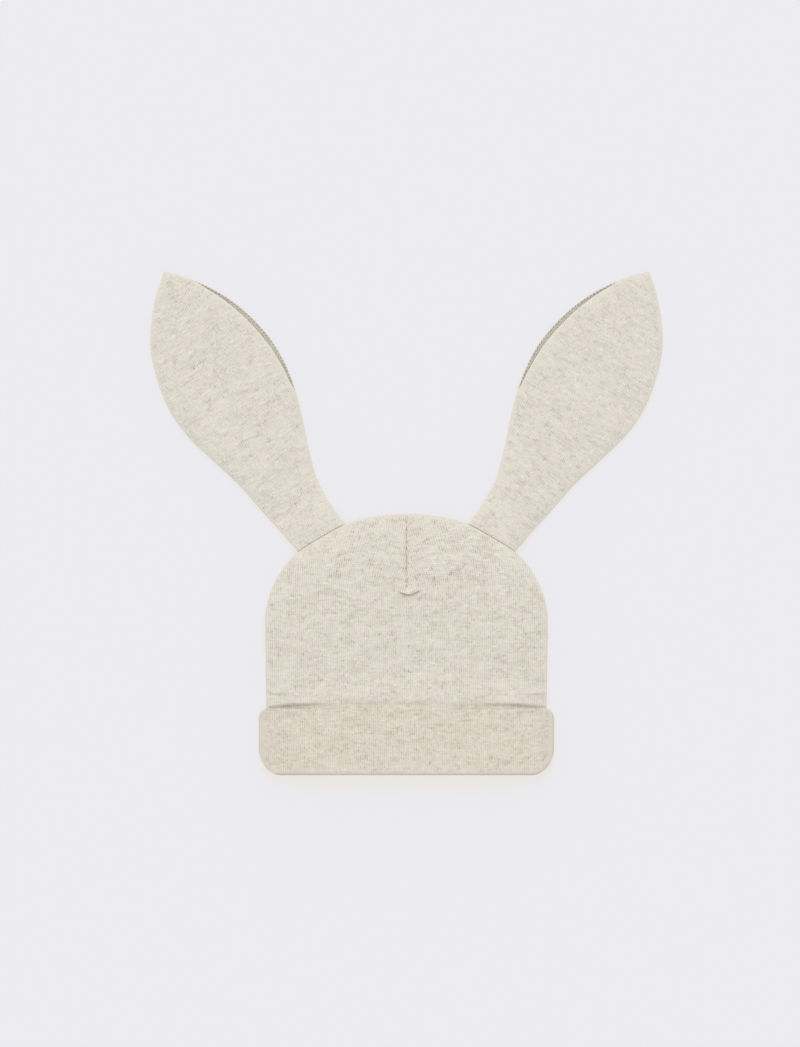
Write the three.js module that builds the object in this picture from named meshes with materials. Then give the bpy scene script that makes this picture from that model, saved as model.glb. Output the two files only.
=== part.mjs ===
// Baby hat with two long ears and a turned-up band, lying on its back.
// Millimetres. X runs across the hat, Y from the mouth to the ear tips, Z up through the front.
// The origin is under the middle of the whole outline, on the surface that the hat lies on.
import * as THREE from 'three';

// Cloth
const JERSEY_WALL = 1.1;
const BAND_WALL = 1.6;
const PIECE_GAP = 0.4;

// Crown: straight sides below a dome that is a superellipse in plan
const DOME_HALF_WIDTH = 83.0;
const DOME_RISE = 65.6;
const DOME_FOOT_Y = -60.0;
const DOME_POWER = 2.1;
const DOME_FLAT_AT_EAR = {
  angle: THREE.MathUtils.degToRad(53),
  halfSpan: THREE.MathUtils.degToRad(10),
  depth: 1.2,
};
const CROWN_FOOT_HALF_WIDTH = 82.0;
const CROWN_FOOT_Y = -116.7;
const SHOULDER_ANGLE = Math.PI / 4;
const CROWN_TOP_Z = 10.2;
const CROWN_PUFF_REACH = 44.0;

// Net of the crown: this share of its rows runs up the straight sides, the rest over the dome
const STRAIGHT_SIDE_SHARE = 0.5;
const STRAIGHT_SIDE_ROWS = [0, 0.06, 0.12, 0.18, 0.24, 0.31, 0.4, STRAIGHT_SIDE_SHARE];
const DOME_ROWS = 8;
const DOME_OUTLINE_STEPS = 60;

// Side and dome seam, and the rounding of the underside up to it
const SEAM_Z = 3.8;
const UNDERSIDE_REACH = 6.0;

// Dart down the middle of the front
const DART_END_Y = -39.0;
const DART_HALF_WIDTH = 3.0;
const DART_DEPTH = 0.7;

// Band: one tube of doubled rib, turned up outside itself
const BAND_HALF_WIDTH = 86.6;
const BAND_TOP_Y = -108.2;
const BAND_BOTTOM_Y = -147.0;
const BAND_INNER_LEG_TOP_Y = -117.0;
const BAND_INNER_LEG_HALF_WIDTH = 82.2;
const BAND_TOP_CORNER = { acrossX: 5.5, alongY: 5.5 };
const BAND_BOTTOM_CORNER = { acrossX: 11.0, alongY: 14.0 };
const LEG_GAP = 0.3;
const BAND_LEG_TOP_Z = 11.0;
const BAND_LEG_UNDERSIDE_Z = BAND_WALL + LEG_GAP;

// Where the band's section turns, as distances in Y from its nearest edge
const OPEN_EDGE = { rounding: 1.2, straightFrom: 5.0 };
const LEG_FOLD = { inside: 2.6, straightFrom: 4.0 };
const MOUTH_FOLD = { rounding: 1.5, straightFrom: 5.0, turnShare: 0.12 };

// The crown comes out of the band and settles to its own height between these
const CROWN_LEAVES_BAND_Y = -106.2;
const CROWN_SETTLES_Y = -88.0;

// Soft hollows in the crown just above the band
const BAND_CREASES = [
  { name: 'left', x: -62, y: -105, halfLength: 17, halfWidth: 4, depth: 0.8 },
  { name: 'right', x: 66, y: -105, halfLength: 18, halfWidth: 4, depth: 0.8 },
];

// Ear: widths either side of a straight axis that leans outwards, sewn into a stretch of the dome seam
const EAR_ROOT = { x: 51.2, y: -9.1 };
const EAR_LEAN = THREE.MathUtils.degToRad(31);
const EAR_ROWS = [
  { along: 2, inner: 16.6, outer: 15.6 },
  { along: 14, inner: 15.9, outer: 17.2 },
  { along: 32, inner: 17.2, outer: 20.5 },
  { along: 50, inner: 22.4, outer: 23.8 },
  { along: 70, inner: 29.4, outer: 29.3 },
  { along: 90, inner: 34.6, outer: 34.8 },
  { along: 110, inner: 36.3, outer: 36.5 },
  { along: 130, inner: 33.4, outer: 33.1 },
  { along: 150, inner: 26.3, outer: 25.6 },
  { along: 160, inner: 20.7, outer: 18.8 },
  { along: 168, inner: 15.2, outer: 12.1 },
  { along: 174, inner: 10.4, outer: 6.2 },
  { along: 178, inner: 6.3, outer: 1.0 },
  { along: 180.4, inner: 2.9, outer: -2.0 },
];
const EAR_SEAM_FROM = THREE.MathUtils.degToRad(40.6);
const EAR_SEAM_TO = THREE.MathUtils.degToRad(65.4);
const EAR_SEAM_GAP = 0.5;
const EAR_SEAM_Z = 1.7;
const EAR_PUFF = 2.6;
const EAR_PUFF_REACH = 15.0;
const EAR_UNDERSIDE_REACH = 3.0;
const EAR_PINCH_LENGTH = 24.0;
const EAR_PINCHED_HALF = JERSEY_WALL + 0.1;
const EAR_BACK_SHOWS = { from: 84, to: 166, width: 2.4, fullness: 0.5 };

// Colours of the undyed heather cloth
const JERSEY_COLOUR = 0xdbd3c6;
const RIB_COLOUR = 0xd9d0c3;
const EAR_BACK_COLOUR = 0xbcb5a8;

function clothMaterial(colour) {
  return new THREE.MeshStandardMaterial({ color: colour, roughness: 0.92, metalness: 0 });
}

// Height of a puffed cloth as a share of its full height, from 0 at the seam to 1 at the reach
function puffShare(distance, reach) {
  const left = 1 - THREE.MathUtils.clamp(distance / reach, 0, 1);
  return Math.sqrt(1 - left * left);
}

function puffSlope(distance, reach) {
  const left = 1 - THREE.MathUtils.clamp(distance / reach, 1e-4, 1);
  return left / Math.sqrt(1 - left * left) / reach;
}

// Distances from a seam that follow the curve of the puff evenly
function puffStations(reach, count) {
  return Array.from({ length: count + 1 }, (_, i) => reach * (1 - Math.cos((i / count) * Math.PI / 2)));
}

// Distance to an outline and the way inwards from it; the first of two equally near stretches counts
function nearestOnOutline(outline, x, y) {
  const point = new THREE.Vector2(x, y);
  const tie = 1e-9;
  let best = { distance: Infinity };
  for (let i = 0; i + 1 < outline.length; i += 1) {
    const start = outline[i];
    const along = outline[i + 1].clone().sub(start);
    const share = THREE.MathUtils.clamp(point.clone().sub(start).dot(along) / along.lengthSq(), 0, 1);
    const distance = point.distanceTo(start.clone().addScaledVector(along, share));
    if (distance < best.distance - tie) {
      const inward = new THREE.Vector2(along.y, -along.x).normalize();
      best = { distance, inward };
    }
  }
  return best;
}

// One piece of cloth: its outer face puffs away from a seam, above it (side 1) or below it (side -1),
// and its inner face is one wall further in, square to the outer one, and never past the seam
function clothFaces(plan, outline, shape, side, wall) {
  const outer = [];
  const inner = [];
  for (const row of plan) {
    outer.push([]);
    inner.push([]);
    for (const { x, y } of row) {
      const { distance, inward } = nearestOnOutline(outline, x, y);
      const { seamZ, puff, reach } = shape(x, y);
      const rise = PIECE_GAP / 2 + puff * puffShare(distance, reach);
      const slope = puff * puffSlope(distance, reach);
      const length = Math.hypot(1, slope);
      const shift = wall * slope / length;
      const innerRise = Math.max(PIECE_GAP / 2, rise - wall / length);
      outer.at(-1).push(new THREE.Vector3(x, y, seamZ + side * rise));
      inner.at(-1).push(new THREE.Vector3(
        x + inward.x * shift, y + inward.y * shift, seamZ + side * innerRise));
    }
  }
  return { outer, inner };
}

function closedMesh(name, points, triangles, material) {
  let volume = 0;
  for (const [a, b, c] of triangles) {
    volume += points[a].dot(points[b].clone().cross(points[c])) / 6;
  }
  const facing = volume > 0 ? triangles : triangles.map(([a, b, c]) => [a, c, b]);
  const geometry = new THREE.BufferGeometry();
  geometry.setAttribute('position', new THREE.Float32BufferAttribute(points.flatMap((p) => p.toArray()), 3));
  geometry.setIndex(facing.flat());
  geometry.computeVertexNormals();
  const mesh = new THREE.Mesh(geometry, material);
  mesh.name = name;
  return mesh;
}

function quad(a, b, c, d) {
  return [[a, b, c], [a, c, d]];
}

// Joins two faces of the same grid size by a strip round their edge
function wallMesh(name, { outer, inner }, material) {
  const rows = outer.length;
  const columns = outer[0].length;
  const at = (row, column, face) => (face * rows + row) * columns + column;
  const triangles = [];
  for (let row = 0; row + 1 < rows; row += 1) {
    for (let column = 0; column + 1 < columns; column += 1) {
      for (const face of [0, 1]) {
        const corners = [
          at(row, column, face), at(row, column + 1, face),
          at(row + 1, column + 1, face), at(row + 1, column, face)];
        triangles.push(...quad(...(face === 0 ? corners : corners.reverse())));
      }
    }
    triangles.push(...quad(at(row, 0, 0), at(row + 1, 0, 0), at(row + 1, 0, 1), at(row, 0, 1)));
    const last = columns - 1;
    triangles.push(...quad(at(row, last, 1), at(row + 1, last, 1), at(row + 1, last, 0), at(row, last, 0)));
  }
  for (let column = 0; column + 1 < columns; column += 1) {
    triangles.push(...quad(at(0, column + 1, 0), at(0, column, 0), at(0, column, 1), at(0, column + 1, 1)));
    const last = rows - 1;
    triangles.push(...quad(
      at(last, column, 0), at(last, column + 1, 0), at(last, column + 1, 1), at(last, column, 1)));
  }
  return closedMesh(name, [...outer.flat(), ...inner.flat()], triangles, material);
}

// Joins a closed row of closed sections into one ring
function ringMesh(name, sections, material) {
  const around = sections.length;
  const across = sections[0].length;
  const at = (i, j) => (i % around) * across + (j % across);
  const triangles = [];
  for (let i = 0; i < around; i += 1) {
    for (let j = 0; j < across; j += 1) {
      triangles.push(...quad(at(i, j), at(i + 1, j), at(i + 1, j + 1), at(i, j + 1)));
    }
  }
  return closedMesh(name, sections.flat(), triangles, material);
}

// ---- Crown ----

// The dome is pressed a little flat where an ear is sewn in
function domePoint(angle) {
  const power = 2 / DOME_POWER;
  const across = Math.sign(Math.cos(angle)) * Math.abs(Math.cos(angle)) ** power;
  const fromEar = (Math.min(angle, Math.PI - angle) - DOME_FLAT_AT_EAR.angle) / DOME_FLAT_AT_EAR.halfSpan;
  const pressed = DOME_FLAT_AT_EAR.depth * Math.exp(-fromEar * fromEar);
  return new THREE.Vector2(
    (DOME_HALF_WIDTH - pressed) * across,
    DOME_FOOT_Y + (DOME_RISE - pressed) * Math.sin(angle) ** power);
}

function crownSidePoint(side, share) {
  if (share < STRAIGHT_SIDE_SHARE) {
    const up = share / STRAIGHT_SIDE_SHARE;
    return new THREE.Vector2(
      side * THREE.MathUtils.lerp(CROWN_FOOT_HALF_WIDTH, DOME_HALF_WIDTH, up),
      THREE.MathUtils.lerp(CROWN_FOOT_Y, DOME_FOOT_Y, up));
  }
  const angle = SHOULDER_ANGLE * (share - STRAIGHT_SIDE_SHARE) / (1 - STRAIGHT_SIDE_SHARE);
  const point = domePoint(angle);
  return new THREE.Vector2(side * point.x, point.y);
}

// Side and dome seam from the left side over the dome to the right side. The sides run straight on
// down to the band's lower edge, so that the crown's open foot doesn't count as a seam
function crownOutline() {
  const overDome = Array.from({ length: DOME_OUTLINE_STEPS + 1 }, (_, i) => (
    domePoint(Math.PI * (1 - i / DOME_OUTLINE_STEPS))));
  const taper = (DOME_HALF_WIDTH - CROWN_FOOT_HALF_WIDTH) / (DOME_FOOT_Y - CROWN_FOOT_Y);
  const footX = CROWN_FOOT_HALF_WIDTH - taper * (CROWN_FOOT_Y - BAND_BOTTOM_Y);
  const foot = (side) => new THREE.Vector2(side * footX, BAND_BOTTOM_Y);
  return [foot(-1), ...overDome, foot(1)];
}

// Blends the four edges of the crown into a net of plan points
function crownPlan(columnShares, rowShares) {
  const leftFoot = crownSidePoint(-1, 0);
  const rightFoot = crownSidePoint(1, 0);
  const leftShoulder = crownSidePoint(-1, 1);
  const rightShoulder = crownSidePoint(1, 1);
  return rowShares.map((up) => columnShares.map((across) => {
    const top = domePoint(Math.PI - SHOULDER_ANGLE - across * (Math.PI - 2 * SHOULDER_ANGLE));
    const bottom = leftFoot.clone().lerp(rightFoot, across);
    const left = crownSidePoint(-1, up);
    const right = crownSidePoint(1, up);
    const corners = leftFoot.clone().lerp(rightFoot, across)
      .lerp(leftShoulder.clone().lerp(rightShoulder, across), up);
    return bottom.lerp(top, up).add(left.lerp(right, across)).sub(corners);
  }));
}

// Shares across the crown: close together at both sides, wider in the middle, and close at the dart
function crownColumns(reach, count) {
  const half = DOME_HALF_WIDTH;
  const edge = puffStations(reach, count);
  const middle = [];
  const between = 2;
  for (let i = 1; i <= between; i += 1) {
    middle.push(THREE.MathUtils.lerp(reach, half - DART_HALF_WIDTH, i / between));
  }
  const fromLeft = [...edge, ...middle];
  return [...fromLeft, half, ...fromLeft.map((d) => 2 * half - d).reverse()].map((d) => d / (2 * half));
}

function crownRows() {
  const dome = Array.from({ length: DOME_ROWS }, (_, i) => Math.sin(((i + 1) / DOME_ROWS) * Math.PI / 2));
  return [...STRAIGHT_SIDE_ROWS, ...dome.map((share) => THREE.MathUtils.lerp(STRAIGHT_SIDE_SHARE, 1, share))];
}

function dartDrop(x, y) {
  const across = Math.max(0, 1 - Math.abs(x) / DART_HALF_WIDTH);
  return y > DART_END_Y ? DART_DEPTH * across : 0;
}

function creaseDrop(x, y) {
  return BAND_CREASES.reduce((sum, crease) => {
    const along = (x - crease.x) / crease.halfLength;
    const across = (y - crease.y) / crease.halfWidth;
    return sum + crease.depth * Math.exp(-along * along - across * across);
  }, 0);
}

// 1 where the crown is inside the band, falling to 0 further up
function insideBand(y) {
  return 1 - THREE.MathUtils.smoothstep(y, CROWN_LEAVES_BAND_Y, CROWN_SETTLES_Y);
}

function frontShape(x, y) {
  const top = THREE.MathUtils.lerp(CROWN_TOP_Z, BAND_LEG_TOP_Z, insideBand(y));
  const puff = top - SEAM_Z - PIECE_GAP / 2 - dartDrop(x, y) - creaseDrop(x, y);
  return { seamZ: SEAM_Z, puff, reach: CROWN_PUFF_REACH };
}

function backShape(x, y) {
  const puff = SEAM_Z - PIECE_GAP / 2 - BAND_LEG_UNDERSIDE_Z * insideBand(y);
  return { seamZ: SEAM_Z, puff, reach: UNDERSIDE_REACH };
}

function crownFront() {
  const plan = crownPlan(crownColumns(CROWN_PUFF_REACH, 6), crownRows());
  const faces = clothFaces(plan, crownOutline(), frontShape, 1, JERSEY_WALL);
  return wallMesh('crown_front', faces, clothMaterial(JERSEY_COLOUR));
}

function crownBack() {
  const plan = crownPlan(crownColumns(UNDERSIDE_REACH, 4), crownRows());
  const faces = clothFaces(plan, crownOutline(), backShape, -1, JERSEY_WALL);
  return wallMesh('crown_back', faces, clothMaterial(JERSEY_COLOUR));
}

// ---- Band ----

// The four faces of the turned-up band, from the hollow outwards
const BAND_FACES = {
  hollow: {
    halfWidth: BAND_INNER_LEG_HALF_WIDTH - BAND_WALL,
    topZ: BAND_LEG_TOP_Z - BAND_WALL,
    underZ: BAND_LEG_UNDERSIDE_Z + BAND_WALL,
  },
  innerLeg: { halfWidth: BAND_INNER_LEG_HALF_WIDTH, topZ: BAND_LEG_TOP_Z, underZ: BAND_LEG_UNDERSIDE_Z },
  outerLeg: {
    halfWidth: BAND_HALF_WIDTH - BAND_WALL,
    topZ: BAND_LEG_TOP_Z + LEG_GAP,
    underZ: BAND_WALL,
  },
  outside: { halfWidth: BAND_HALF_WIDTH, topZ: BAND_LEG_TOP_Z + LEG_GAP + BAND_WALL, underZ: 0 },
};

function bandLoopPoint(face, station) {
  const scale = face.halfWidth / BAND_HALF_WIDTH;
  const x = station.x * scale;
  const distance = face.halfWidth - Math.abs(x);
  const z = station.front
    ? SEAM_Z + (face.topZ - SEAM_Z) * puffShare(distance, CROWN_PUFF_REACH)
    : SEAM_Z - (SEAM_Z - face.underZ) * puffShare(distance, UNDERSIDE_REACH);
  return { x, z };
}

function cornerInset(x, corner) {
  const into = Math.max(0, Math.abs(x) - (BAND_HALF_WIDTH - corner.acrossX)) / corner.acrossX;
  return corner.alongY * (1 - Math.sqrt(1 - Math.min(1, into * into)));
}

// Places across the band from its right side to its left: close together over each bend, then even
function bandPlaces(reach, bendCells, flatCells) {
  const bend = puffStations(reach, bendCells).map((d) => BAND_HALF_WIDTH - d);
  const flat = Array.from({ length: flatCells }, (_, i) => (
    (BAND_HALF_WIDTH - reach) * (1 - (i + 1) / flatCells)));
  const half = [...bend, ...flat];
  return [...half, ...half.slice(0, -1).map((x) => -x).reverse()];
}

// Places round the flattened tube: over the front from right to left, then back underneath
function bandStations() {
  const overFront = bandPlaces(CROWN_PUFF_REACH, 7, 2);
  const underBack = bandPlaces(UNDERSIDE_REACH, 5, 3).slice(1, -1).reverse();
  return [
    ...overFront.map((x) => ({ x, front: true })),
    ...underBack.map((x) => ({ x, front: false })),
  ];
}

// The band's U section at one place round the tube
function bandSection(station) {
  const top = BAND_TOP_Y - cornerInset(station.x, BAND_TOP_CORNER);
  const bottom = BAND_BOTTOM_Y + cornerInset(station.x, BAND_BOTTOM_CORNER);
  const legTop = BAND_INNER_LEG_TOP_Y;
  const legMiddle = (legTop + bottom) / 2;
  const outerMiddle = (top + bottom) / 2;
  const { hollow, innerLeg, outerLeg, outside } = BAND_FACES;
  const between = (a, b, share) => ({
    halfWidth: THREE.MathUtils.lerp(a.halfWidth, b.halfWidth, share),
    topZ: THREE.MathUtils.lerp(a.topZ, b.topZ, share),
    underZ: THREE.MathUtils.lerp(a.underZ, b.underZ, share),
  });
  const path = [
    [hollow, legTop], [innerLeg, legTop],
    [innerLeg, legMiddle], [innerLeg, bottom + LEG_FOLD.straightFrom],
    [between(innerLeg, outerLeg, 0.5), bottom + LEG_FOLD.inside],
    [outerLeg, bottom + LEG_FOLD.straightFrom], [outerLeg, outerMiddle], [outerLeg, top - OPEN_EDGE.rounding],
    [between(outerLeg, outside, 0.5), top],
    [outside, top - OPEN_EDGE.rounding], [outside, top - OPEN_EDGE.straightFrom],
    [outside, outerMiddle], [outside, bottom + MOUTH_FOLD.straightFrom],
    [between(hollow, outside, 1 - MOUTH_FOLD.turnShare), bottom + MOUTH_FOLD.rounding],
    [between(hollow, outside, 0.5), bottom],
    [between(hollow, outside, MOUTH_FOLD.turnShare), bottom + MOUTH_FOLD.rounding],
    [hollow, bottom + MOUTH_FOLD.straightFrom], [hollow, legMiddle],
  ];
  return path.map(([face, y]) => {
    const { x, z } = bandLoopPoint(face, station);
    return new THREE.Vector3(x, y, z);
  });
}

function cuff() {
  return ringMesh('cuff', bandStations().map(bandSection), clothMaterial(RIB_COLOUR));
}

// ---- Ears ----

// Width of the ear's row at a length along the axis, on a smooth curve through the table
function earWidths(along) {
  const curve = (column) => {
    const points = EAR_ROWS.map((row) => new THREE.Vector3(row.along, row[column], 0));
    return new THREE.CatmullRomCurve3(points, false, 'centripetal');
  };
  const widthAt = (column) => {
    const line = curve(column);
    let low = 0;
    let high = 1;
    for (let i = 0; i < 30; i += 1) {
      const middle = (low + high) / 2;
      if (line.getPoint(middle).x < along) low = middle;
      else high = middle;
    }
    return line.getPoint(low).y;
  };
  return { inner: widthAt('inner'), outer: widthAt('outer') };
}

// The ear's front stops short of its back along the upper inner edge
function frontInset(along) {
  const { from, to, width, fullness } = EAR_BACK_SHOWS;
  const share = THREE.MathUtils.clamp((along - from) / (to - from), 0, 1);
  return width * Math.sin(Math.PI * share) ** fullness;
}

function earPlanPoint(along, across) {
  const out = new THREE.Vector2(Math.sin(EAR_LEAN), Math.cos(EAR_LEAN));
  const inwards = new THREE.Vector2(-Math.cos(EAR_LEAN), Math.sin(EAR_LEAN));
  return new THREE.Vector2(EAR_ROOT.x, EAR_ROOT.y).addScaledVector(out, along).addScaledVector(inwards, across);
}

// Place on the dome seam where the ear is sewn in, from its outer notch to its inner one
function earSeamPoint(share) {
  const angle = THREE.MathUtils.lerp(EAR_SEAM_FROM, EAR_SEAM_TO, share);
  const step = 0.001;
  const along = domePoint(angle + step).sub(domePoint(angle));
  const outward = new THREE.Vector2(along.y, -along.x).normalize();
  return domePoint(angle).addScaledVector(outward, EAR_SEAM_GAP);
}

// Lengths along the ear, closer together towards the tip
function earRowLengths() {
  const rows = 18;
  const crowding = 1.25;
  const first = EAR_ROWS[0].along;
  const last = EAR_ROWS.at(-1).along;
  return Array.from({ length: rows + 1 }, (_, row) => (
    THREE.MathUtils.lerp(last, first, (1 - row / rows) ** crowding)));
}

// Plan points of one ear panel on the right side; the first row lies along the dome seam
// and the rows after it let go of that curve
function earNet(stopsShort) {
  const shares = [-1, -0.93, -0.78, -0.56, -0.28, 0, 0.28, 0.56, 0.78, 0.93, 1];
  const letGoLength = 30;
  const lengths = earRowLengths();
  const rowPoint = (along, across) => {
    const { inner, outer } = earWidths(along);
    const trimmed = inner - (stopsShort ? frontInset(along) : 0);
    return earPlanPoint(along, across * (across > 0 ? trimmed : outer));
  };
  return lengths.map((along) => shares.map((across) => {
    const held = Math.max(0, 1 - (along - lengths[0]) / letGoLength) ** 2;
    const pull = earSeamPoint((across + 1) / 2).sub(rowPoint(lengths[0], across));
    return rowPoint(along, across).addScaledVector(pull, held);
  }));
}

function earOutline(net) {
  const outerSide = net.map((row) => row[0]);
  const tip = net.at(-1).slice(1, -1);
  const innerSide = net.map((row) => row.at(-1)).reverse();
  return [...outerSide, ...tip, ...innerSide];
}

// 1 where the ear is held flat in the dome seam, falling to 0 along the free ear
function earPinch(x, y) {
  const along = (Math.abs(x) - EAR_ROOT.x) * Math.sin(EAR_LEAN) + (y - EAR_ROOT.y) * Math.cos(EAR_LEAN);
  return 1 - THREE.MathUtils.smoothstep(along, 0, EAR_PINCH_LENGTH);
}

function earPanel(side, part) {
  const isFront = part === 'front';
  const mirrored = ({ x, y }) => new THREE.Vector2(side * x, y);
  const net = earNet(isFront).map((row) => row.map(mirrored));
  const outline = side > 0 ? earOutline(net).reverse() : earOutline(net);
  const freePuff = isFront ? EAR_PUFF : EAR_SEAM_Z - PIECE_GAP / 2;
  const freeReach = isFront ? EAR_PUFF_REACH : EAR_UNDERSIDE_REACH;
  const shape = (x, y) => ({
    seamZ: THREE.MathUtils.lerp(EAR_SEAM_Z, SEAM_Z, earPinch(x, y)),
    puff: THREE.MathUtils.lerp(freePuff, EAR_PINCHED_HALF, earPinch(x, y)),
    reach: THREE.MathUtils.lerp(freeReach, EAR_UNDERSIDE_REACH, earPinch(x, y)),
  });
  const faces = clothFaces(net, outline, shape, isFront ? 1 : -1, JERSEY_WALL);
  const sideName = side > 0 ? 'right' : 'left';
  const material = clothMaterial(isFront ? JERSEY_COLOUR : EAR_BACK_COLOUR);
  return wallMesh(`${sideName}_ear_${part}`, faces, material);
}

const hat = new THREE.Group();
hat.add(crownFront(), crownBack(), cuff());
for (const side of [-1, 1]) {
  hat.add(earPanel(side, 'front'), earPanel(side, 'back'));
}

export default hat;
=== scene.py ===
import math

import bpy
import numpy as np
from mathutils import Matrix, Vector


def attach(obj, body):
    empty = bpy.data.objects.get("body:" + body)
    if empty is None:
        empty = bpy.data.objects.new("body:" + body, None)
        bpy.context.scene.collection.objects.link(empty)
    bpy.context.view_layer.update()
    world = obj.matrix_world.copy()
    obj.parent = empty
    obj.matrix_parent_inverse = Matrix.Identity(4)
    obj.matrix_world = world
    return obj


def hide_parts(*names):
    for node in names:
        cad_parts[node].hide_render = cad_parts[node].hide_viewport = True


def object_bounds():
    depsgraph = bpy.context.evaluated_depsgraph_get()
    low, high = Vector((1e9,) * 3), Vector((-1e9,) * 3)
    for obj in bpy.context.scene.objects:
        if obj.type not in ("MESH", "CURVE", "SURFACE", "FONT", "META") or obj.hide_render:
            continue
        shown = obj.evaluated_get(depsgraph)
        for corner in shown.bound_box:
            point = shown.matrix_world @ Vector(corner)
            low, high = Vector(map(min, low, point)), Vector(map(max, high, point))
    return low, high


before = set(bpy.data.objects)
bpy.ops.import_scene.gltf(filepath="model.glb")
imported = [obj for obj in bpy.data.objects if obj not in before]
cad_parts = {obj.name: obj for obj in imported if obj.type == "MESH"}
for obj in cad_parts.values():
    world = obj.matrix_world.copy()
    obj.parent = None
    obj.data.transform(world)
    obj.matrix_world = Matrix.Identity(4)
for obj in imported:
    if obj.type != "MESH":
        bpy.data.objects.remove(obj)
cad_low, cad_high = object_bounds()

# --- Table, light and camera ---------------------------------------------------------------
# A pale table of opal acrylic, lit softly from inside, so that hardly any shadow falls on it.
# One broad soft light comes from the ear side, and an even fill from all round.
# The camera hangs straight above the flattened hat and looks down on its front.


def linear(hex_colour):
    """sRGB hex colour as linear RGBA."""
    parts = [int(hex_colour[i:i + 2], 16) / 255 for i in (1, 3, 5)]
    return [p / 12.92 if p <= 0.04045 else ((p + 0.055) / 1.055) ** 2.4 for p in parts] + [1.0]


def node(tree, kind, inputs=None, **settings):
    """Adds a node, sets its properties and fills its inputs. An input given as a socket is linked
    to it, and one given as a node to that node's first output."""
    made = tree.nodes.new(kind)
    for key, value in settings.items():
        setattr(made, key, value)
    for key, value in (inputs or {}).items():
        source = value.outputs[0] if isinstance(value, bpy.types.Node) else value
        if isinstance(source, bpy.types.NodeSocket):
            tree.links.new(source, made.inputs[key])
        else:
            made.inputs[key].default_value = source
    return made


def new_material(name):
    material = bpy.data.materials.new(name)
    material.use_nodes = True
    material.node_tree.nodes.clear()
    return material, material.node_tree


def table_top_material():
    """Cast opal acrylic with a matt face. The lamps inside are a little warmer than the room's
    light, so what shadow there is looks warm."""
    material, tree = new_material("opal_acrylic")
    shader = node(tree, "ShaderNodeBsdfPrincipled", {
        "Base Color": linear("#3A5F8C"), "Roughness": 0.9, "Specular IOR Level": 0.0,
        "Emission Color": linear("#E6DBC8"), "Emission Strength": 1.0})
    node(tree, "ShaderNodeOutputMaterial", {"Surface": shader})
    return material


TABLE_SIZE = 6.0
table_mesh = bpy.data.meshes.new("table_top")
half_table = TABLE_SIZE / 2
table_mesh.from_pydata(
    [(-half_table, -half_table, 0), (half_table, -half_table, 0),
     (half_table, half_table, 0), (-half_table, half_table, 0)], [], [(0, 1, 2, 3)])
table_mesh.materials.append(table_top_material())
table_top = bpy.data.objects.new("table_top", table_mesh)
bpy.context.scene.collection.objects.link(table_top)

FILL_COLOUR = "#ECECF0"
KEY_STRENGTH = 1.05
KEY_SOFTNESS = math.radians(40)
KEY_TILT = math.radians(-38)
KEY_TURN = math.radians(5)

world = bpy.data.worlds.new("even_fill")
world.use_nodes = True
world.node_tree.nodes["Background"].inputs["Color"].default_value = linear(FILL_COLOUR)
bpy.context.scene.world = world

key_light = bpy.data.lights.new("window_light", "SUN")
key_light.energy = KEY_STRENGTH
key_light.angle = KEY_SOFTNESS
key = bpy.data.objects.new("window_light", key_light)
key.rotation_euler = (KEY_TILT, 0, KEY_TURN)
bpy.context.scene.collection.objects.link(key)

CAMERA_HEIGHT = 3.0
VIEW_WIDTH = 0.468
VIEW_CENTRE_X = -0.0038
SENSOR_WIDTH = 36.0
camera_data = bpy.data.cameras.new("overhead")
camera_data.sensor_fit = "HORIZONTAL"
camera_data.sensor_width = SENSOR_WIDTH
camera_data.lens = SENSOR_WIDTH * (CAMERA_HEIGHT - cad_high[2]) / VIEW_WIDTH
camera = bpy.data.objects.new("overhead", camera_data)
camera.location = (VIEW_CENTRE_X, 0, CAMERA_HEIGHT)
bpy.context.scene.collection.objects.link(camera)
bpy.context.scene.camera = camera
bpy.context.scene.view_settings.view_transform = "Standard"

# --- Crown front ---------------------------------------------------------------------------
# One panel of cotton jersey in undyed oatmeal heather, cut with a dart whose edges are sewn
# together down the middle. It ends in a small tuck, and is sewn to the back round its edge.
# Sizes of the hat are in millimetres, and MM turns them into metres.

MM = 0.001
JERSEY_THICK = 1.1
DOME_HALF_WIDTH = 83.0
DOME_RISE = 65.6
DOME_FOOT_Y = -60.0
DOME_POWER = 2.1
DOME_FLAT_AT_EAR = {"angle": math.radians(53), "half_span": math.radians(10), "depth": 1.2}
CROWN_FOOT_HALF_WIDTH = 82.0
CROWN_FOOT_Y = -116.7
SHOULDER = math.pi / 4
SIDE_SEAM_SHARE = 0.5
SEAM_Z = 3.8
SEAM_GAP = 1.04
CROWN_TOP_Z = 10.2
CROWN_REACH = 44.0
BAND_TOP_Y = -108.2
BAND_LEG_TOP_Z = 11.0
CROWN_BULGE = 1.85
DART_END_Y = -39.6


def ramp(value, start, end):
    """Smooth step from 0 at start to 1 at end, either way round."""
    share = np.clip((value - start) / (end - start), 0, 1)
    return share * share * (3 - 2 * share)


def bell(value, width):
    return np.exp(-(value / width) ** 2)


def puff_share(distance, reach):
    """Height of a puffed cloth near its seam, from 0 at the seam to 1 at the reach."""
    left = 1 - np.clip(distance / reach, 0, 1)
    return np.sqrt(1 - left * left)


def dome_point(angle):
    """Place on the dome seam, which is pressed a little flat where an ear is sewn in."""
    cosine, sine = np.cos(angle), np.clip(np.sin(angle), 0, 1)
    from_ear = np.minimum(angle, math.pi - angle) - DOME_FLAT_AT_EAR["angle"]
    pressed = DOME_FLAT_AT_EAR["depth"] * bell(from_ear, DOME_FLAT_AT_EAR["half_span"])
    x = (DOME_HALF_WIDTH - pressed) * np.sign(cosine) * np.abs(cosine) ** (2 / DOME_POWER)
    y = DOME_FOOT_Y + (DOME_RISE - pressed) * sine ** (2 / DOME_POWER)
    return np.stack([x, y], -1)


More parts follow.
